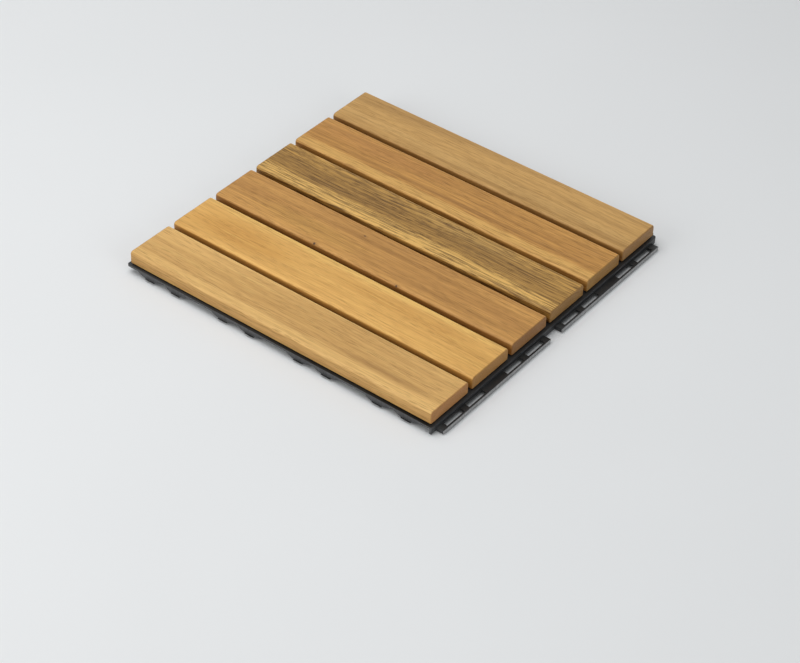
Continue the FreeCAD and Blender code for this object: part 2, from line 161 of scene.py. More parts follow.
class Nodes:
    """Node tree in which one method makes every node and maths is written as expressions."""

    def __init__(self, tree: bpy.types.NodeTree) -> None:
        """Take up a tree.

        Args:
            tree: Tree that the nodes go into.
        """
        self.tree = tree

    def node(self, kind: str, settings: dict[str, Any], inputs: dict[Union[str, int], Any]) -> Made:
        """Make any node.

        Args:
            kind: Node type.
            settings: Properties of the node, set before its sockets.
            inputs: Values or links of its sockets, by name or number.

        Returns:
            The node, ready for its outputs to be read.
        """
        made = self.tree.nodes.new(kind)
        for name, setting in settings.items():
            setattr(made, name, setting)
        for name, value in inputs.items():
            self.feed(made.inputs[name], value)
        return Made(self, made)

    def feed(self, socket: bpy.types.NodeSocket, value: Any) -> None:
        """Link an output to a socket, or set the socket to a plain value.

        Args:
            socket: Socket to feed.
            value: Another node's output, or a plain value.
        """
        if isinstance(value, Value):
            self.tree.links.new(value.socket, socket)
        else:
            socket.default_value = value

    def maths(self, operation: str, first: Number, second: Number = 0.0) -> Value:
        """Math node on one or two numbers."""
        return self.node("ShaderNodeMath", {"operation": operation}, {0: first, 1: second}).out("Value")

    def axes(self, where: Value) -> tuple[Value, Value, Value]:
        """The three parts of a vector."""
        parts = self.node("ShaderNodeSeparateXYZ", {}, {0: where})
        return parts.out("X"), parts.out("Y"), parts.out("Z")

    def vector(self, first: Number, second: Number, third: Number) -> Value:
        """A vector from three numbers."""
        return self.node("ShaderNodeCombineXYZ", {}, {"X": first, "Y": second, "Z": third}).out("Vector")


class Shader(Nodes):
    """Material with one Principled surface."""

    def __init__(self, name: str) -> None:
        """Start a material.

        Args:
            name: Material name.
        """
        self.material = bpy.data.materials.new(name)
        self.material.use_nodes = True
        super().__init__(self.material.node_tree)
        self.surface = self.tree.nodes["Principled BSDF"]

    def mix(self, mask: Number, first: Any, second: Any, blend: str = "MIX") -> Value:
        """Mix two colours.

        Args:
            mask: Share of the second colour.
            first: First colour.
            second: Second colour.
            blend: How the second colour goes over the first.

        Returns:
            The mixed colour.
        """
        inputs = {"Factor": mask}
        for name, colour in (("A", first), ("B", second)):
            inputs[name] = colour if isinstance(colour, Value) else (*colour, 1)
        return self.node("ShaderNodeMix", {"data_type": "RGBA", "blend_type": blend}, inputs).out("Result")

    def place(self, shift: Place = (0, 0, 0)) -> Value:
        """Object coordinates, shifted."""
        spot = self.node("ShaderNodeTexCoord", {}, {}).out("Object")
        return self.node("ShaderNodeMapping", {}, {"Vector": spot, "Location": shift}).out("Vector")

    def noise(self, where: Value, scale: float, detail: float, roughness: float = 0.55) -> Value:
        """Noise between about 0.3 and 0.7.

        Args:
            where: Place in the noise.
            scale: Its fineness.
            detail: Number of finer layers in it.
            roughness: How strong the finer layers are.

        Returns:
            The noise.
        """
        inputs = {"Vector": where, "Scale": scale, "Detail": detail, "Roughness": roughness}
        return self.node("ShaderNodeTexNoise", {}, inputs).out("Fac")

    def bump(self, height: Value, strength: float, distance: float) -> None:
        """Feed the surface's normal from a height.

        Args:
            height: Height over the surface.
            strength: Strength of the bump.
            distance: Depth of the bump in metres.
        """
        inputs = {"Height": height, "Strength": strength, "Distance": distance}
        self.set(Normal=self.node("ShaderNodeBump", {}, inputs).out("Normal"))

    def set(self, **inputs: Any) -> None:
        """Set or link inputs of the surface, with _ for a space in their names."""
        for name, value in inputs.items():
            self.feed(self.surface.inputs[name.replace("_", " ")], value)


def scaled(colour: Colour, gain: float) -> Colour:
    """A colour made lighter or darker, with no part past 1."""
    return tuple(min(1.0, gain * part) for part in colour)


def swing(base: float, *parts: tuple[Value, float]) -> Value:
    """Number that strays from its base with some noises.

    Args:
        base: Number where every noise is at its middle.
        parts: Each noise and how far the number follows it.

    Returns:
        The number.
    """
    total = base
    for noise, reach in parts:
        total = total + (noise - 0.5) * reach
    return total


@dataclass(frozen=True)
class Band:
    """Two numbers between which a layer comes in, and the layer's strength."""

    low: float
    high: float
    strength: float = 1.0

    def mask(self, number: Value) -> Value:
        """Share of the layer that shows."""
        return number.ramp(self.low, self.high) * self.strength


@dataclass(frozen=True)
class Stretch:
    """Noise drawn out in one direction: its fineness along, across and up, per metre."""

    along: float
    across: float
    up: float
    detail: float = 1.0
    roughness: float = 0.55

    def spot(self, shader: Shader, axes: tuple[Value, Value, Value], seed: float) -> Value:
        """Place in the noise, which the seed moves along."""
        along, across, up = axes
        return shader.vector(along * self.along + seed, across * self.across, up * self.up)

    def noise(self, shader: Shader, axes: tuple[Value, Value, Value], seed: float = 0.0) -> Value:
        """The noise itself."""
        return shader.noise(self.spot(shader, axes, seed), 1.0, self.detail, self.roughness)


@dataclass(frozen=True)
class Zone:
    """Long soft patch of another colour in a board, in metres about the board's middle."""

    along: float
    across: float
    reach: float
    spread: float
    colour: Colour
    strength: float
    ragged: float = 0.9


@dataclass(frozen=True)
class Knot:
    """Small dark pin knot, in metres about the board's middle."""

    along: float
    across: float
    size: float


@dataclass(frozen=True)
class KnotPart:
    """Soft ellipse about a knot, with its half axes in knot sizes."""

    reach: float
    spread: float
    band: Band


@dataclass(frozen=True)
class WoodTone:
    """One board's own colours and figure."""

    slot: Finish
    pale: Colour
    deep: Colour
    dark: Colour
    end: Colour
    streaks: float
    pores: float
    seed: float
    sway: float = 8 * MM
    stripes: float = 0.14
    zones: tuple[Zone, ...] = ()
    knots: tuple[Knot, ...] = ()


@dataclass(frozen=True)
class Grain:
    """Shader, coordinates and noises that one board's finish is made of."""

    shader: Shader
    along: Value
    across: Value
    up: Value
    broad: Value
    middle: Value
    fine: Value
    figure: Value
    pore: Value


@dataclass(frozen=True)
class GrainScales:
    """Noises of the wood, from the sway of the grain line down to single pores."""

    slow: Stretch = Stretch(5, 12, 12)
    quick: Stretch = Stretch(28, 70, 70, 2.0)
    quick_sway: float = 0.9 * MM
    lean: float = 0.8
    broad: Stretch = Stretch(3.5, 62, 45, 4.0, 0.6)
    middle: Stretch = Stretch(6, 330, 300, 4.0, 0.65)
    fine: Stretch = Stretch(34, 1000, 1000, 2.0, 0.6)
    figure: Stretch = Stretch(5, 540, 400, 3.0, 0.6)
    cells: Stretch = Stretch(75, 1500, 1500)
    crowd: Stretch = Stretch(11, 210, 150, 3.0)
    pore_size: Band = Band(0.42, 0.16)
    pore_crowd: Band = Band(0.3, 0.56)


@dataclass(frozen=True)
class WoodLayers:
    """Where in the noises each layer of colour shows, and how strongly."""

    deep: Band = Band(0.3, 0.7)
    figure: Band = Band(0.47, 0.64)
    streaks: Band = Band(0.52, 0.74)
    fine_streaks: Band = Band(0.48, 0.68, 0.8)
    gleam: Band = Band(0.44, 0.28, 0.24)
    fine_gleam: Band = Band(0.46, 0.3, 0.16)
    gleam_gain: float = 1.45
    # Gain of the painted highlight on the far top edge.
    edge_highlight_gain: float = 1.5
    zone: Band = Band(1.25, 0.45)
    zone_ragged: float = 1.6
    halo: KnotPart = KnotPart(6.0, 2.2, Band(1.0, 0.2, 0.4))
    pin: KnotPart = KnotPart(1.2, 1.0, Band(1.1, 0.5, 0.9))


@dataclass(frozen=True)
class EndGrain:
    """Sawn end of a board: curved rings about the log's heart below it, and open pores."""

    depth: float = 1.3 * MM
    full: float = 0.26 * MM
    heart: float = 30 * MM
    rings: float = 800.0
    ring_drift: float = 30.0
    ring_share: float = 0.9
    ring_least: float = 0.02
    dots: Stretch = Stretch(0, 1500, 1500, 2.0)
    pores: Band = Band(0.5, 0.72, 0.45)
    strength: float = 0.92


@dataclass(frozen=True)
class Wood:
    """Planed and oiled hardwood, with its grain along X, painted shade on the long sides, a painted
    highlight on the far top edge, and darker end grain.
    """

    tone: WoodTone
    length: float
    width: float
    thick: float
    middle: float
    bottom: float
    free_side: int = 0
    pore_colour: Colour = (0.09, 0.04, 0.013)
    knot_colour: Colour = (0.03, 0.015, 0.008)
    # Tint and band of the painted shade on the long sides, darker low down and in the gaps between boards.
    gap_shade_tint: Colour = (0.54, 0.41, 0.26)
    side_depth: float = 0.4 * MM
    side_full: float = 0.04 * MM
    side_least: float = 0.65
    side_low: tuple[float, float] = (0.8, 0.2)
    free_share: float = 0.55
    # Band and strength of the painted highlight along the rounding of the far top edge.
    edge_highlight_depth: float = 2.6 * MM
    edge_highlight_full: float = 1.0 * MM
    edge_highlight_strength: float = 0.45
    scales: GrainScales = GrainScales()
    layers: WoodLayers = WoodLayers()
    end_grain: EndGrain = EndGrain()

    def make(self) -> bpy.types.Material:
        """Build the material.

        Returns:
            Material with streaks, pores, coloured zones, pin knots, painted shade on the sides, a painted
            highlight on the far top edge, end grain and an oiled sheen.
        """
        tone = self.tone
        shader = Shader(f"{tone.slot.value}_oiled")
        grain = self._grain(shader)
        wood = self._face(grain)
        wood = shader.mix(grain.pore * tone.pores, wood, self.pore_colour)
        for knot in tone.knots:
            wood = self._knot(wood, grain, knot)
        half = self.width / 2
        # Painted highlight on the rounding of the far (+Y) top edge.
        rim = Band(half - self.edge_highlight_depth, half - self.edge_highlight_full, self.edge_highlight_strength).mask(grain.across)
        wood = shader.mix(rim, wood, scaled(tone.pale, self.layers.edge_highlight_gain))
        # Painted shade on the long sides, in the gaps between boards.
        wood = shader.mix(self._gap_shade(grain), wood, self.gap_shade_tint, "MULTIPLY")
        wood = self._ends(wood, grain)
        rough = 0.47 + (grain.fine - 0.5) * 0.3 + grain.pore * 0.3
        shader.set(Base_Color=wood, Roughness=rough.clamped(), Specular_IOR_Level=0.3)
        shader.bump(grain.fine * 0.55 + grain.middle * 0.45 - grain.pore * 0.8, 0.3, 0.4 * MM)
        return shader.material

    def _grain(self, shader: Shader) -> Grain:
        """Noises stretched along the board, on a grain line that sways a little.

        Args:
            shader: Shader to work in.

        Returns:
            The board's own coordinates and its noises.
        """
        scales, seed, sway = self.scales, self.tone.seed, self.tone.sway
        along, across, up = shader.axes(shader.place((0, -self.middle, -self.bottom)))
        slow = scales.slow.noise(shader, (along, across, up), seed) - 0.5
        quick = scales.quick.noise(shader, (along, across, up), seed) - 0.5
        line = across + slow * sway + quick * scales.quick_sway
        level = up * scales.lean + slow * sway
        swayed = (along, line, level)
        cells = shader.node("ShaderNodeTexVoronoi", {"feature": "F1"}, {
            "Vector": scales.cells.spot(shader, swayed, seed), "Scale": 1.0,
        })
        crowd = scales.crowd.noise(shader, swayed, seed)
        pore = scales.pore_size.mask(cells.out("Distance")) * scales.pore_crowd.mask(crowd)
        kinds = (scales.broad, scales.middle, scales.fine, scales.figure)
        noises = [kind.noise(shader, swayed, seed) for kind in kinds]
        return Grain(shader, along, across, up, *noises, pore)

    def _face(self, grain: Grain) -> Value:
        """Colour of the planed faces: broad shades, zones, stripes, streaks and pale gleams.

        Args:
            grain: The board's noises.

        Returns:
            The colour.
        """
        shader, tone, layers = grain.shader, self.tone, self.layers
        wood = shader.mix(layers.deep.mask(grain.broad), tone.pale, tone.deep)
        for zone in tone.zones:
            wood = self._tint(wood, grain, zone)
        wood = shader.mix(layers.figure.mask(grain.figure) * tone.stripes, wood, tone.dark)
        wood = shader.mix(layers.streaks.mask(grain.middle) * tone.streaks, wood, tone.dark)
        gleam = layers.gleam.mask(grain.middle) + layers.fine_gleam.mask(grain.fine)
        wood = shader.mix(gleam, wood, scaled(tone.pale, layers.gleam_gain))
        return shader.mix(layers.fine_streaks.mask(grain.fine) * tone.streaks, wood, tone.dark)

    def _gap_shade(self, grain: Grain) -> Value:
        """Mask of painted shade on the long sides, strong in the gaps and low down, weaker on the tile's
        own side.

        Args:
            grain: The board's coordinates.

        Returns:
            The mask.
        """
        half = self.width / 2
        off = grain.shader.maths("ABSOLUTE", grain.across)
        side = off.ramp(half - self.side_depth, half - self.side_full)
        low = (grain.up / self.thick).ramp(*self.side_low)
        mask = side * (self.side_least + (1 - self.side_least) * low)
        if self.free_side:
            gap_half = (grain.across * -self.free_side).ramp(-1 * MM, 1 * MM)
            mask = mask * (self.free_share + (1 - self.free_share) * gap_half)
        return mask

    def _ellipse(self, grain: Grain, centre: tuple[float, float], reach: tuple[float, float]) -> Value:
        """Distance from a place on the board's face, 1 at the rim of an ellipse.

        Args:
            grain: The board's coordinates.
            centre: Place along and across the board.
            reach: Half axes of the ellipse along and across the board.

        Returns:
            The distance.
        """
        far = (grain.along - centre[0]) / reach[0]
        wide = (grain.across - centre[1]) / reach[1]
        return grain.shader.maths("SQRT", far * far + wide * wide)

    def _tint(self, wood: Value, grain: Grain, zone: Zone) -> Value:
        """Lay a zone over the board, its rim broken up along the grain.

        Args:
            wood: Colour so far.
            grain: The board's coordinates and noises.
            zone: Zone to lay over it.

        Returns:
            The colour with the zone.
        """
        far = self._ellipse(grain, (zone.along, zone.across), (zone.reach, zone.spread))
        torn = (grain.middle - 0.5) * zone.ragged * self.layers.zone_ragged
        rim = far + torn + (grain.fine - 0.5) * zone.ragged
        return grain.shader.mix(self.layers.zone.mask(rim) * zone.strength, wood, zone.colour)

    def _knot(self, wood: Value, grain: Grain, knot: Knot) -> Value:
        """Put a pin knot in the board's top, with a soft dark halo drawn out along the grain.

        Args:
            wood: Colour so far.
            grain: The board's coordinates.
            knot: Knot to put in.

        Returns:
            The colour with the knot.
        """
        near_top = grain.up.ramp(self.thick - 3 * knot.size, self.thick - knot.size)
        for part, colour in ((self.layers.halo, self.tone.dark), (self.layers.pin, self.knot_colour)):
            reach = (part.reach * knot.size, part.spread * knot.size)
            far = self._ellipse(grain, (knot.along, knot.across), reach)
            wood = grain.shader.mix(part.band.mask(far) * near_top, wood, colour)
        return wood

    def _ends(self, wood: Value, grain: Grain) -> Value:
        """Give the board sawn ends: darker and redder, with curved rings and open pores.

        Args:
            wood: Colour so far.
            grain: The board's coordinates.

        Returns:
            The colour with the ends.
        """
        shader, tone, cut = grain.shader, self.tone, self.end_grain
        half = self.length / 2
        mask = shader.maths("ABSOLUTE", grain.along).ramp(half - cut.depth, half - cut.full)
        lift = grain.up + cut.heart
        radius = shader.maths("SQRT", grain.across * grain.across + lift * lift)
        ring_spot = shader.vector(radius * cut.rings, grain.across * cut.ring_drift, tone.seed)
        arcs = shader.noise(ring_spot, 1.0, 3.0, 0.6)
        dots = cut.dots.noise(shader, (grain.along, grain.across, grain.up), tone.seed)
        end = shader.mix((arcs * cut.ring_share + cut.ring_least).clamped(), tone.end, tone.dark)
        end = shader.mix(cut.pores.mask(dots), end, self.pore_colour)
        return shader.mix(mask * cut.strength, wood, end)


@dataclass(frozen=True)
class Moulding:
    """Fine-grained black moulded plastic."""

    colour: Colour = (0.0115, 0.0113, 0.0112)
    # Colour of the painted light on upright faces, which the lamps light more than the flat tops.
    drawn: Colour = (0.06, 0.061, 0.064)
    # Colour of the painted grey highlight on the outermost upright faces.
    outer_highlight: Colour = (0.4, 0.4, 0.402)
    dusty: Colour = (0.07, 0.068, 0.064)
    # Depths of the painted highlight's band in from the lowest and highest edges, and its share on the
    # lowest.
    low_depth: tuple[float, float] = (1.5 * MM, 1.2 * MM)
    high_depth: tuple[float, float] = (0.6 * MM, 0.2 * MM)
    low_share: float = 0.12
    grain_scale: float = 2600.0
    patch_scale: float = 42.0
    drag: Stretch = Stretch(900, 900, 60, 2.0)
    lean: Band = Band(0.15, 0.75)
    dust: Band = Band(0.52, 0.8, 0.16)

    def make(self) -> bpy.types.Material:
        """Build the material.

        Returns:
            Material with a fine grain, painted light on the upright walls, broken into streaks along
            the mould's drag, and a painted grey highlight on the outermost faces.
        """
        shader = Shader("black_moulding")
        spot = shader.place()
        along, across, up = shader.axes(spot)
        grain = shader.noise(spot, self.grain_scale, 3.0, 0.6)
        patch = shader.noise(spot, self.patch_scale, 3.0)
        drag = self.drag.noise(shader, (along, across, up))
        facing = shader.node("ShaderNodeNewGeometry", {}, {}).out("True Normal")
        # Painted light: upright faces are lighter than flat ones, broken into streaks along the mould's
        # drag.
        upright = 1 - self.lean.mask(shader.maths("ABSOLUTE", shader.axes(facing)[2]))
        upright_light_share = upright * swing(0.55, (drag, 1.1), (patch, 0.9))
        base = shader.mix(upright_light_share.clamped(), self.colour, self.drawn)
        # Painted highlight: the outermost upright faces, near the grid's far edges, turn grey.
        low, high = CAD_BOX[0][0], CAD_BOX[1][0]
        highest = shader.maths("MAXIMUM", along, across).ramp(*(high - depth for depth in self.high_depth))
        lowest = shader.maths("MINIMUM", along, across).ramp(*(low + depth for depth in self.low_depth))
        outer = shader.maths("MAXIMUM", highest, lowest * self.low_share) * upright
        base = shader.mix((outer * swing(0.75, (drag, 1.2))).clamped(), base, self.outer_highlight)
        base = shader.mix(self.dust.mask(patch), base, self.dusty)
        rough = swing(0.44, (patch, 0.22), (grain, 0.16))
        shader.set(Base_Color=base, Roughness=rough.clamped(), Specular_IOR_Level=0.32)
        shader.bump(grain * 0.7 + drag * upright * 0.3, 0.22, 0.12 * MM)
        return shader.material


@dataclass(frozen=True)
class PlainSteel:
    """Plain stainless steel, slightly brushed and dulled."""

    colour: Colour = (0.52, 0.51, 0.5)
    dull: Colour = (0.4, 0.385, 0.37)
    dulled: Band = Band(0.4, 0.7)
    fine_scale: float = 3800.0
    patch_scale: float = 260.0

    def make(self) -> bpy.types.Material:
        """Build the material.

        Returns:
            Metal with fine turning marks and dull patches.
        """
        shader = Shader("screw_steel_plain")
        spot = shader.place()
        fine = shader.noise(spot, self.fine_scale, 2.0)
        patch = shader.noise(spot, self.patch_scale, 3.0)
        tint = shader.mix(self.dulled.mask(patch), self.colour, self.dull)
        rough = swing(0.3, (fine, 0.2), (patch, 0.25))
        shader.set(Base_Color=tint, Metallic=1.0, Roughness=rough.clamped())
        shader.bump(fine, 0.12, 0.05 * MM)
        return shader.material


def add(name: str, data: bpy.types.ID) -> bpy.types.Object:
    """Add an object to the scene.

    Args:
        name: Name of the object.
        data: Mesh, lamp or camera that it shows.

    Returns:
        The object.
    """
    thing = bpy.data.objects.new(name, data)
    bpy.context.scene.collection.objects.link(thing)
    return thing


def keep_result(piece: bpy.types.Object, modifier: bpy.types.Modifier) -> None:
    """Take a modifier off a piece and keep what it made as the piece's plain mesh.

    Args:
        piece: Piece with the modifier.
        modifier: Its only modifier.
    """
    graph = bpy.context.evaluated_depsgraph_get()
    mesh = bpy.data.meshes.new_from_object(piece.evaluated_get(graph), depsgraph=graph)
    piece.modifiers.remove(modifier)
    mesh.name = piece.name
    piece.data = mesh


def settle(piece: bpy.types.Object, node: str, slot: Finish) -> None:
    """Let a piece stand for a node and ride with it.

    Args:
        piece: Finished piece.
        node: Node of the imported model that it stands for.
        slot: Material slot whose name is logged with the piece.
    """
    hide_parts(node)
    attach(piece, "root")
    LOG.info("%s: %d faces, %s", piece.name, len(piece.data.polygons), slot.value)


class GeometryTree(Nodes):
    """Geometry Nodes tree with named inputs, ending in real, dressed meshes."""

    def __init__(self, name: str) -> None:
        """Start a tree that takes a mesh in and gives a shape out.

        Args:
            name: Tree name.
        """
        super().__init__(bpy.data.node_groups.new(name, "GeometryNodeTree"))
        self.keys: dict[str, str] = {}
        self.inputs = self.node("NodeGroupInput", {}, {})
        self.start = self.size("Geometry", "NodeSocketGeometry")
        self.tree.interface.new_socket("Geometry", in_out="OUTPUT", socket_type="NodeSocketGeometry")

    def size(self, name: str, kind: str = "NodeSocketFloat") -> Value:
        """Add a named input.

        Args:
            name: Name of the input.
            kind: Socket type of the input.

        Returns:
            The input as the tree's nodes read it.
        """
        item = self.tree.interface.new_socket(name, in_out="INPUT", socket_type=kind)
        self.keys[name] = item.identifier
        return self.inputs.out(name)

    def moved(self, shape: Value, places: Value) -> Value:
        """The shape with its points at new places."""
        inputs = {"Geometry": shape, "Position": places}
        return self.node("GeometryNodeSetPosition", {}, inputs).out("Geometry")

    def finish(self, shape: Value, material: Value) -> None:
        """End the tree in real geometry with its material.

        Args:
            shape: Geometry to give out.
            material: Material input.
        """
        real = self.node("GeometryNodeRealizeInstances", {}, {"Geometry": shape}).out("Geometry")
        dressed = self.node("GeometryNodeSetMaterial", {}, {"Geometry": real, "Material": material})
        self.node("NodeGroupOutput", {}, {"Geometry": dressed.out("Geometry")})

    def run(self, start: bpy.types.Mesh, name: str, values: dict[str, Any]) -> bpy.types.Object:
        """Run the tree on a mesh and keep the result as a plain mesh.

        Args:
            start: Mesh that the tree works on.
            name: Name of the piece.
            values: Values of the tree's named inputs.

        Returns:
            Object that holds the finished mesh, with no modifier.
        """
        piece = add(name, start)
        modifier = piece.modifiers.new("build", "NODES")
        modifier.node_group = self.tree
        for label, value in values.items():
            modifier[self.keys[label]] = value
        keep_result(piece, modifier)
        return piece


@dataclass
class Slats:
    """Six boards, each swept by one tree along its own length."""

    tones: list[WoodTone]
    top_round: float = 2.5 * MM
    top_steps: int = 12
    arris: float = 0.8 * MM
    arris_steps: int = 5
    end_round: float = 1.2 * MM
    end_steps: int = 7
    spans: int = 22
    tree: GeometryTree = field(init=False)

    def __post_init__(self) -> None:
        """Build the tree that all boards share."""
        self.tree = self._sweep_tree()

    def _sweep_tree(self) -> GeometryTree:
        """Tree that turns a section into a board with rounded ends.

        Returns:
            Tree with inputs for the length, the section's size and the rounding of the ends.
        """
        tree = GeometryTree("board_sweep")
        length, width, thick = tree.size("Length"), tree.size("Width"), tree.size("Thick")
        round_end = tree.size("End round")
        material = tree.size("Material", "NodeSocketMaterial")
        last = 2 * self.end_steps + self.spans
        line = tree.node("GeometryNodeCurvePrimitiveLine", {}, {"Start": (-1, 0, 0), "End": (1, 0, 0)})
        stops = {"Curve": line.out("Curve"), "Count": last + 1}
        path = tree.node("GeometryNodeResampleCurve", {"mode": "COUNT"}, stops)
        index = tree.node("GeometryNodeInputIndex", {}, {}).out("Index")
        from_end = tree.maths("MINIMUM", index, last - index)
        angle = tree.maths("MINIMUM", from_end / self.end_steps, 1.0) * (math.pi / 2)
        rounded = round_end * (1 - tree.maths("COSINE", angle))
        beyond = tree.maths("MAXIMUM", from_end - self.end_steps, 0.0)
        inward = rounded + beyond / (self.spans / 2) * (length / 2 - round_end)
        side = tree.maths("SIGN", index - last / 2)
        stations = tree.moved(path.out("Curve"), tree.vector((length / 2 - inward) * side, 0.0, 0.0))
        section = tree.node("GeometryNodeMeshToCurve", {}, {"Mesh": tree.start}).out("Curve")
        swept = tree.node("GeometryNodeCurveToMesh", {}, {
            "Curve": stations, "Profile Curve": section, "Fill Caps": True,
        })
        shape = self._round_ends(tree, swept.out("Mesh"), (length, width, thick, round_end))
        tree.finish(shape, material)
        return tree

    def _round_ends(self, tree: GeometryTree, shape: Value, sizes: tuple[Value, ...]) -> Value:
        """Draw the section in towards its middle near both ends.

        Args:
            tree: Tree to work in.
            shape: Swept board.
            sizes: Length, width, thickness and rounding.

        Returns:
            The board with rounded ends.
        """
        length, width, thick, round_end = sizes
        along, across, up = tree.axes(tree.node("GeometryNodeInputPosition", {}, {}).out("Position"))
        past = tree.maths("MAXIMUM", tree.maths("ABSOLUTE", along) - (length / 2 - round_end), 0.0)
        share = tree.maths("MINIMUM", past / round_end, 1.0)
        drop = round_end * (1 - tree.maths("SQRT", 1 - share * share))
        drawn = []
        for part, full in ((across, width), (up, thick)):
            half = full / 2
            drawn.append(part * ((half - drop) / half))
        return tree.moved(shape, tree.vector(along, *drawn))

    def _section(self, width: float, thick: float) -> bpy.types.Mesh:
        """Outline of a board's section about its middle, as a ring of edges.

        Args:
            width: Board's width.
            thick: Board's thickness.

        Returns:
            Mesh of edges in the XY plane, upside down because the sweep turns its Y to the ground.
        """
        corners = (
            (1, 1, self.top_round, self.top_steps), (-1, 1, self.top_round, self.top_steps),
            (-1, -1, self.arris, self.arris_steps), (1, -1, self.arris, self.arris_steps),
        )
        points = []
        for number, (side, level, radius, count) in enumerate(corners):
            centre = (side * (width / 2 - radius), level * (thick / 2 - radius))
            for step in range(count + 1):
                angle = math.pi / 2 * (number + step / count)
                rise = centre[1] + radius * math.sin(angle)
                points.append((centre[0] + radius * math.cos(angle), -rise, 0))
        ring = bpy.data.meshes.new("board_section")
        ring.from_pydata(points, [(n, (n + 1) % len(points)) for n in range(len(points))], [])
        return ring

    def build(self) -> None:
        """Make each board over its node and dress it in its own wood."""
        for number, tone in enumerate(self.tones, start=1):
            node = f"slat_{number}"
            low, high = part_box(node)
            length, width, thick = high - low
            middle = (low + high) / 2
            free_side = {1: -1, len(self.tones): 1}.get(number, 0)
            finish = Wood(tone, length, width, thick, middle.y, low.z, free_side).make()
            piece = self.tree.run(self._section(width, thick), f"board_{number}", {
                "Length": length, "Width": width, "Thick": thick, "End round": self.end_round,
                "Material": finish,
            })
            self._seat(piece, middle)
            settle(piece, node, tone.slot)

    def _seat(self, piece: bpy.types.Object, middle: Vector) -> None:
        """Put a swept board in its place, smooth, with its flat ends kept sharp.

        Args:
            piece: Swept board, about the origin.
            middle: Middle of its node.
        """
        mesh = piece.data
        mesh.transform(Matrix.Translation(middle))
        shape = bmesh.new()
        shape.from_mesh(mesh)
        bmesh.ops.recalc_face_normals(shape, faces=shape.faces)
        for face in shape.faces:
            face.smooth = True
            if len(face.verts) > 4:
                for edge in face.edges:
                    edge.smooth = False
        shape.to_mesh(mesh)
        shape.free()


@dataclass
class Grid:
    """Black moulded grid, copied from its node and given softened edges."""

    edge_round: float = 0.28 * MM
    weld: float = 0.002 * MM
    flat: float = math.radians(1.0)
    sharp: float = math.radians(35)
    node: str = "base_grid"
    name: str = "moulded_grid"

    def build(self) -> None:
        """Make the grid over its node."""
        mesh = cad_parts[self.node].data.copy()
        mesh.name = self.name
        mesh.materials.clear()
        mesh.materials.append(Moulding().make())
        shape = bmesh.new()
        shape.from_mesh(mesh)
        bmesh.ops.remove_doubles(shape, verts=shape.verts, dist=self.weld)
        bmesh.ops.dissolve_limit(
            shape, angle_limit=self.flat, verts=shape.verts, edges=shape.edges, delimit={"NORMAL"},
        )
        shape.to_mesh(mesh)
        shape.free()
        piece = add(self.name, mesh)
        self._soften(piece)
        settle(piece, self.node, Finish.MOULDING)

    def _soften(self, piece: bpy.types.Object) -> None:
        """Round the outer edges a little and keep the flat faces flat.

        Args:
            piece: Grid with sharp edges.
        """
        for polygon in piece.data.polygons:
            polygon.use_smooth = True
        bevel = piece.modifiers.new("edges", "BEVEL")
        bevel.width = self.edge_round
        bevel.segments = 2
        bevel.limit_method = "ANGLE"
        bevel.angle_limit = self.sharp
        bevel.use_clamp_overlap = True
        bevel.harden_normals = True
        keep_result(piece, bevel)


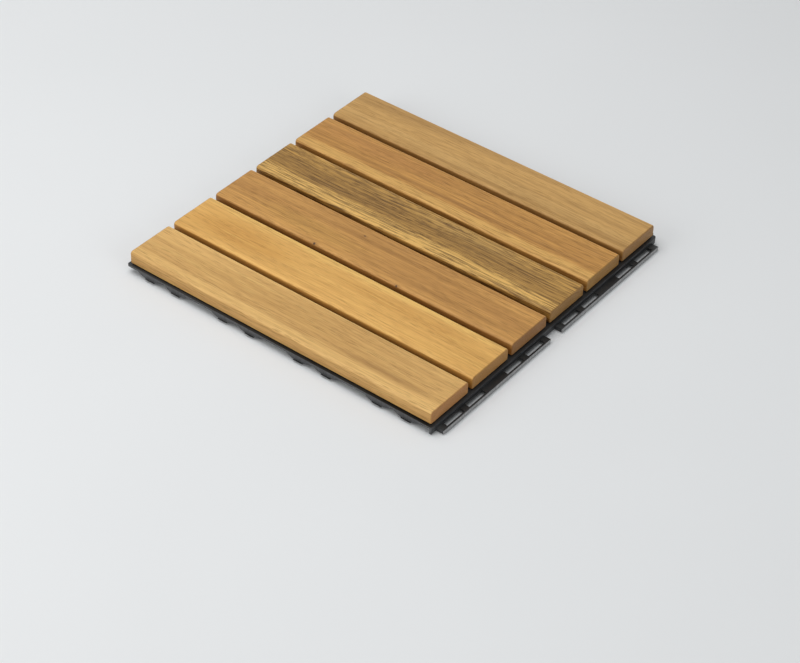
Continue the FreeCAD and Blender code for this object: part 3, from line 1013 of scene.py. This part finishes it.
@dataclass
class Screws:
    """Pan-head wood screws with cross recesses, one mesh repeated on the slats' screw places.

    The recess is given as radii and heights over the head's outer face, and the head's round as
    distances inside its rim and the same heights.
    """

    sides: int = 20
    per_slat: int = 2
    turn_seed: int = 7
    thread_turns: int = 9
    thread_valley: float = 0.15
    thread_crest: float = 0.6
    shank: float = 1.6 * MM
    root: float = 1.15 * MM
    head_thick: float = 1.9 * MM
    plain: float = 1.2 * MM
    thread_start: float = 1.5 * MM
    point: float = 3 * MM
    recess: tuple[tuple[float, float], ...] = (
        (0.0, 1.3 * MM), (0.55 * MM, 1.2 * MM), (0.95 * MM, 0.12 * MM), (1.05 * MM, 0.0),
    )
    head_rim: tuple[tuple[float, float], ...] = (
        (0.9 * MM, 0.0), (0.35 * MM, 0.2 * MM), (0.06 * MM, 0.7 * MM), (0.0, 1.3 * MM),
    )
    cross_within: tuple[float, float] = (0.3 * MM, 1.2 * MM)
    cross_depth: float = 1.25 * MM
    cross_arm: float = 0.75
    cross_least: float = 0.45
    corner: float = 10 * MM
    sharp: float = math.radians(40)
    node: str = "screws"

    def build(self) -> None:
        """Make one screw, repeat it with a tree and dress it."""
        low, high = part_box(self.node)
        head = self._head_radius(low)
        first = (low.x + head, low.y + head)
        last = (high.x - head, high.y - head)
        slats = sum(name.startswith("slat_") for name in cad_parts)
        piece = self._places_tree().run(self._screw(head, low.z, high.z), "screw_set", {
            "Columns": self.per_slat, "Rows": slats,
            "Spread X": last[0] - first[0], "Spread Y": last[1] - first[1],
            "Material": PlainSteel().make(),
        })
        piece.data.transform(Matrix.Translation(((first[0] + last[0]) / 2, (first[1] + last[1]) / 2, 0)))
        settle(piece, self.node, Finish.STEEL)

    def _places_tree(self) -> GeometryTree:
        """Tree that repeats a screw in rows and columns, each turned at random.

        Returns:
            Tree with inputs for the counts and for the distances between the outer screws.
        """
        tree = GeometryTree("screw_places")
        columns, rows = tree.size("Columns", "NodeSocketInt"), tree.size("Rows", "NodeSocketInt")
        spread_x, spread_y = tree.size("Spread X"), tree.size("Spread Y")
        material = tree.size("Material", "NodeSocketMaterial")
        places = tree.node("GeometryNodeMeshGrid", {}, {
            "Size X": spread_x, "Size Y": spread_y, "Vertices X": columns, "Vertices Y": rows,
        })
        turn = tree.node("FunctionNodeRandomValue", {"data_type": "FLOAT"}, {
            "Max": math.tau, "Seed": self.turn_seed,
        })
        copies = tree.node("GeometryNodeInstanceOnPoints", {}, {
            "Points": places.out("Mesh"), "Instance": tree.start,
            "Rotation": tree.vector(0.0, 0.0, turn.out("Value")),
        })
        tree.finish(copies.out("Instances"), material)
        return tree

    def _head_radius(self, low: Vector) -> float:
        """Radius of a screw's head, from the width of the screw in the lowest corner.

        Args:
            low: Lowest corner of all screws.

        Returns:
            The radius.
        """
        points = [vertex.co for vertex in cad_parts[self.node].data.vertices]
        reach_x, reach_y = low.x + self.corner, low.y + self.corner
        spots = [point.x for point in points if point.x < reach_x and point.y < reach_y]
        return (max(spots) - min(spots)) / 2

    def _profile(self, head: float, bottom: float, top: float) -> list[tuple[float, float]]:
        """Outline of a screw from the middle of its recess to its point.

        Args:
            head: Radius of the head.
            bottom: Height of the head's outer face.
            top: Height of the point.

        Returns:
            Radii and heights.
        """
        seat = bottom + self.head_thick
        start, end = seat + self.thread_start, top - self.point
        pitch = (end - start) / self.thread_turns
        profile = [(radius, bottom + height) for radius, height in self.recess]
        profile += [(head - inside, bottom + height) for inside, height in self.head_rim]
        profile += [(head, seat), (self.shank, seat), (self.shank, seat + self.plain)]
        for turn in range(self.thread_turns):
            profile.append((self.root, start + (turn + self.thread_valley) * pitch))
            profile.append((self.shank, start + (turn + self.thread_crest) * pitch))
        return profile + [(self.root, end), (0.0, top)]

    def _screw(self, head: float, bottom: float, top: float) -> bpy.types.Mesh:
        """One screw, head down, about the Z axis.

        Args:
            head: Radius of the head.
            bottom: Height of the head's outer face.
            top: Height of the point.

        Returns:
            Mesh of the head with its recess, the shank, its thread and its point.
        """
        shape = bmesh.new()
        loops = [self._ring(shape, radius, height) for radius, height in self._profile(head, bottom, top)]
        for lower, upper in zip(loops, loops[1:]):
            self._bridge(shape, lower, upper)
        for vertex in shape.verts:
            self._press_recess(vertex, bottom)
        bmesh.ops.recalc_face_normals(shape, faces=shape.faces)
        for face in shape.faces:
            face.smooth = True
        for edge in shape.edges:
            edge.smooth = edge.is_manifold and edge.calc_face_angle(0.0) < self.sharp
        mesh = bpy.data.meshes.new("screw")
        shape.to_mesh(mesh)
        shape.free()
        return mesh

    def _ring(self, shape: bmesh.types.BMesh, radius: float, height: float) -> list[bmesh.types.BMVert]:
        """Make a ring of points, or one point on the axis.

        Args:
            shape: Mesh that they go into.
            radius: Radius of the ring, 0 for one point.
            height: Height of the ring.

        Returns:
            The points.
        """
        if radius == 0.0:
            return [shape.verts.new((0, 0, height))]
        turns = [math.tau * number / self.sides for number in range(self.sides)]
        spots = [(radius * math.cos(turn), radius * math.sin(turn), height) for turn in turns]
        return [shape.verts.new(spot) for spot in spots]

    def _bridge(self, shape: bmesh.types.BMesh, lower: list[bmesh.types.BMVert],
                upper: list[bmesh.types.BMVert]) -> None:
        """Make the faces between two rings, or between a ring and a point.

        Args:
            shape: Mesh that they go into.
            lower: Points of the first ring.
            upper: Points of the next ring.
        """
        for number in range(self.sides):
            after = (number + 1) % self.sides
            if len(lower) == 1:
                shape.faces.new((lower[0], upper[number], upper[after]))
            elif len(upper) == 1:
                shape.faces.new((lower[number], lower[after], upper[0]))
            else:
                shape.faces.new((lower[number], lower[after], upper[after], upper[number]))

    def _press_recess(self, vertex: bmesh.types.BMVert, bottom: float) -> None:
        """Draw a point of the recess out or in, so that its rings become crosses.

        Args:
            vertex: Any point of the screw.
            bottom: Height of the head's outer face.
        """
        inner, outer = self.cross_within
        radius = math.hypot(vertex.co.x, vertex.co.y)
        if inner < radius < outer and vertex.co.z < bottom + self.cross_depth:
            turn = math.atan2(vertex.co.y, vertex.co.x)
            arm = max(1 + self.cross_arm * math.cos(4 * turn), self.cross_least)
            vertex.co.x *= arm
            vertex.co.y *= arm


@dataclass(frozen=True)
class Lamp:
    """Square soft lamp, aimed at the middle of the ground."""

    name: str
    place: Place
    size: float
    power: float


@dataclass
class Studio:
    """Pale floor, soft lamps and the photo's camera.

    The aim is a point of the tile, and the offset is how far right, down and ahead of the camera it is.
    """

    floor_colour: Colour = (0.86, 0.87, 0.875)
    floor_shade: float = 0.985
    floor_half: float = 6.0
    world_colour: Colour = (0.95, 0.98, 1.0)
    world_light: float = 0.28
    world_seen: float = 0.9
    focal_px: float = 2261.27
    image_width: int = 800
    sensor: float = 36.0
    azimuth: float = math.radians(36.29)
    elevation: float = math.radians(39.657)
    roll: float = math.radians(-2.39)
    aim: Place = (0.0, 0.0, 19.5 * MM)
    offset: Place = (-3.247 * MM, -73.885 * MM, 1783.873 * MM)
    lamps: tuple[Lamp, ...] = (
        Lamp("overhead", (-0.5, -0.2, 1.8), 1.7, 20.5),
        Lamp("front", (-0.75, -1.7, 0.85), 1.3, 12.0),
        Lamp("side", (1.9, -0.5, 0.8), 1.2, 7.0),
    )

    def build(self) -> None:
        """Make the floor, the lamps, the world and the camera."""
        self._floor()
        for lamp in self.lamps:
            self._light(lamp)
        self._world()
        self._camera()
        bpy.context.scene.view_settings.view_transform = "Standard"

    def _floor(self) -> None:
        """Wide plain floor at the ground."""
        shader = Shader("floor_paper")
        patch = shader.noise(shader.place(), 3.0, 2.0)
        shade = scaled(self.floor_colour, self.floor_shade)
        colour = shader.mix(patch.ramp(0.3, 0.7), self.floor_colour, shade)
        shader.set(Base_Color=colour, Roughness=0.9, Specular_IOR_Level=0.2)
        half = self.floor_half
        corners = [(-half, -half, 0), (half, -half, 0), (half, half, 0), (-half, half, 0)]
        mesh = bpy.data.meshes.new("floor")
        mesh.from_pydata(corners, [], [range(len(corners))])
        mesh.materials.append(shader.material)
        add("floor", mesh)

    def _light(self, lamp: Lamp) -> None:
        """Hang one lamp.

        Args:
            lamp: The lamp.
        """
        data = bpy.data.lights.new(lamp.name, "AREA")
        data.size = lamp.size
        data.energy = lamp.power
        light = add(lamp.name, data)
        light.location = lamp.place
        light.rotation_euler = (-Vector(lamp.place)).to_track_quat("-Z", "Y").to_euler()

    def _world(self) -> None:
        """Dim even light from all round, before a pale backdrop that only the camera and gloss see."""
        world = bpy.data.worlds.new("studio")
        world.use_nodes = True
        nodes = Nodes(world.node_tree)
        rays = nodes.node("ShaderNodeLightPath", {}, {})
        seen = rays.out("Is Camera Ray") + rays.out("Is Transmission Ray") + rays.out("Is Glossy Ray")
        strength = nodes.node("ShaderNodeMapRange", {}, {
            "Value": seen, "To Min": self.world_light, "To Max": self.world_seen,
        })
        back = nodes.tree.nodes["Background"]
        nodes.feed(back.inputs["Color"], (*self.world_colour, 1))
        nodes.feed(back.inputs["Strength"], strength.out("Result"))
        bpy.context.scene.world = world

    def _camera(self) -> None:
        """Camera as it was fitted to the tile's corners in the photo."""
        data = bpy.data.cameras.new("camera")
        data.sensor_width = self.sensor
        data.lens = self.focal_px / self.image_width * self.sensor
        back = Vector((
            math.sin(self.azimuth) * math.cos(self.elevation),
            -math.cos(self.azimuth) * math.cos(self.elevation),
            math.sin(self.elevation),
        ))
        right = (-back).cross(Vector((0, 0, 1))).normalized()
        down = (-back).cross(right)
        turned_right = math.cos(self.roll) * right + math.sin(self.roll) * down
        turned_down = -math.sin(self.roll) * right + math.cos(self.roll) * down
        place = Vector(self.aim)
        for axis, distance in zip((turned_right, turned_down, -back), self.offset):
            place -= axis * distance
        camera = add("camera", data)
        turn = Matrix((turned_right, -turned_down, back)).transposed()
        camera.matrix_world = Matrix.Translation(place) @ turn.to_4x4()
        bpy.context.scene.camera = camera


TONES = [
    WoodTone(
        slot=Finish.TAN, streaks=0.3, pores=0.34, seed=3.1,
        pale=(0.835, 0.506, 0.176), deep=(0.631, 0.358, 0.114),
        dark=(0.298, 0.145, 0.041), end=(0.54, 0.238, 0.085),
        zones=(
            Zone(-0.03, 0.002, 0.11, 0.008, (0.583, 0.328, 0.099), 0.5),
            Zone(0.095, -0.009, 0.05, 0.004, (0.372, 0.189, 0.052), 0.55),
            Zone(-0.02, -0.018, 0.3, 0.006, (0.843, 0.529, 0.186), 0.5),
        ),
    ),
    WoodTone(
        slot=Finish.GOLDEN, streaks=0.28, pores=0.3, seed=7.7,
        pale=(0.836, 0.472, 0.134), deep=(0.65, 0.346, 0.088),
        dark=(0.36, 0.162, 0.038), end=(0.402, 0.21, 0.068),
        zones=(
            Zone(-0.095, -0.002, 0.05, 0.014, (0.6, 0.29, 0.059), 0.6),
            Zone(0.0, 0.021, 0.3, 0.006, (0.912, 0.58, 0.173), 0.6),
            Zone(0.06, 0.006, 0.07, 0.006, (0.6, 0.29, 0.065), 0.45),
        ),
    ),
    WoodTone(
        slot=Finish.RED, streaks=0.4, pores=0.4, seed=12.4,
        pale=(0.666, 0.349, 0.096), deep=(0.49, 0.242, 0.064),
        dark=(0.234, 0.101, 0.025), end=(0.316, 0.156, 0.059),
        zones=(
            Zone(-0.06, -0.007, 0.06, 0.009, (0.572, 0.315, 0.075), 0.5),
            Zone(0.03, 0.008, 0.12, 0.003, (0.364, 0.17, 0.04), 0.6),
            Zone(0.09, -0.012, 0.06, 0.003, (0.325, 0.151, 0.035), 0.6),
        ),
        knots=(Knot(-0.0201, 0.0111, 0.0008), Knot(-0.045, -0.0215, 0.001), Knot(0.037, -0.0222, 0.0009)),
    ),
    WoodTone(
        slot=Finish.OLIVE, streaks=0.95, pores=0.9, seed=18.9, sway=14 * MM, stripes=0.52,
        pale=(0.578, 0.325, 0.081), deep=(0.413, 0.222, 0.049),
        dark=(0.114, 0.051, 0.011), end=(0.456, 0.246, 0.075),
        zones=(
            Zone(0.0, 0.0, 0.22, 0.009, (0.33, 0.175, 0.04), 0.6),
            Zone(0.045, 0.014, 0.06, 0.007, (0.533, 0.319, 0.097), 0.6),
            Zone(-0.05, -0.0165, 0.3, 0.0075, (0.813, 0.49, 0.141), 0.95),
            Zone(-0.07, 0.0205, 0.06, 0.001, (0.66, 0.41, 0.15), 0.7, 0.3),
        ),
    ),
    WoodTone(
        slot=Finish.ORANGE, streaks=0.5, pores=0.42, seed=23.3,
        pale=(0.666, 0.346, 0.089), deep=(0.478, 0.231, 0.055),
        dark=(0.221, 0.091, 0.021), end=(0.406, 0.237, 0.067),
        zones=(
            Zone(-0.08, 0.009, 0.08, 0.01, (0.52, 0.242, 0.067), 0.5),
            Zone(0.0, -0.0175, 0.35, 0.006, (0.754, 0.448, 0.133), 0.75),
            Zone(0.02, -0.007, 0.15, 0.0025, (0.338, 0.157, 0.038), 0.65),
        ),
    ),
    WoodTone(
        slot=Finish.KHAKI, streaks=0.32, pores=0.32, seed=29.6,
        pale=(0.635, 0.368, 0.12), deep=(0.465, 0.260, 0.079),
        dark=(0.257, 0.127, 0.037), end=(0.369, 0.199, 0.072),
        zones=(
            Zone(0.0, -0.01, 0.25, 0.006, (0.655, 0.396, 0.14), 0.5),
            Zone(0.05, -0.017, 0.14, 0.002, (0.328, 0.176, 0.051), 0.5),
        ),
    ),
]


def main() -> None:
    """Build the tile's pieces in order, then the studio."""
    logging.basicConfig(level=logging.INFO, format="%(name)s: %(message)s")
    Grid().build()
    Slats(TONES).build()
    Screws().build()
    Studio().build()


if __name__ == "__main__":
    main()
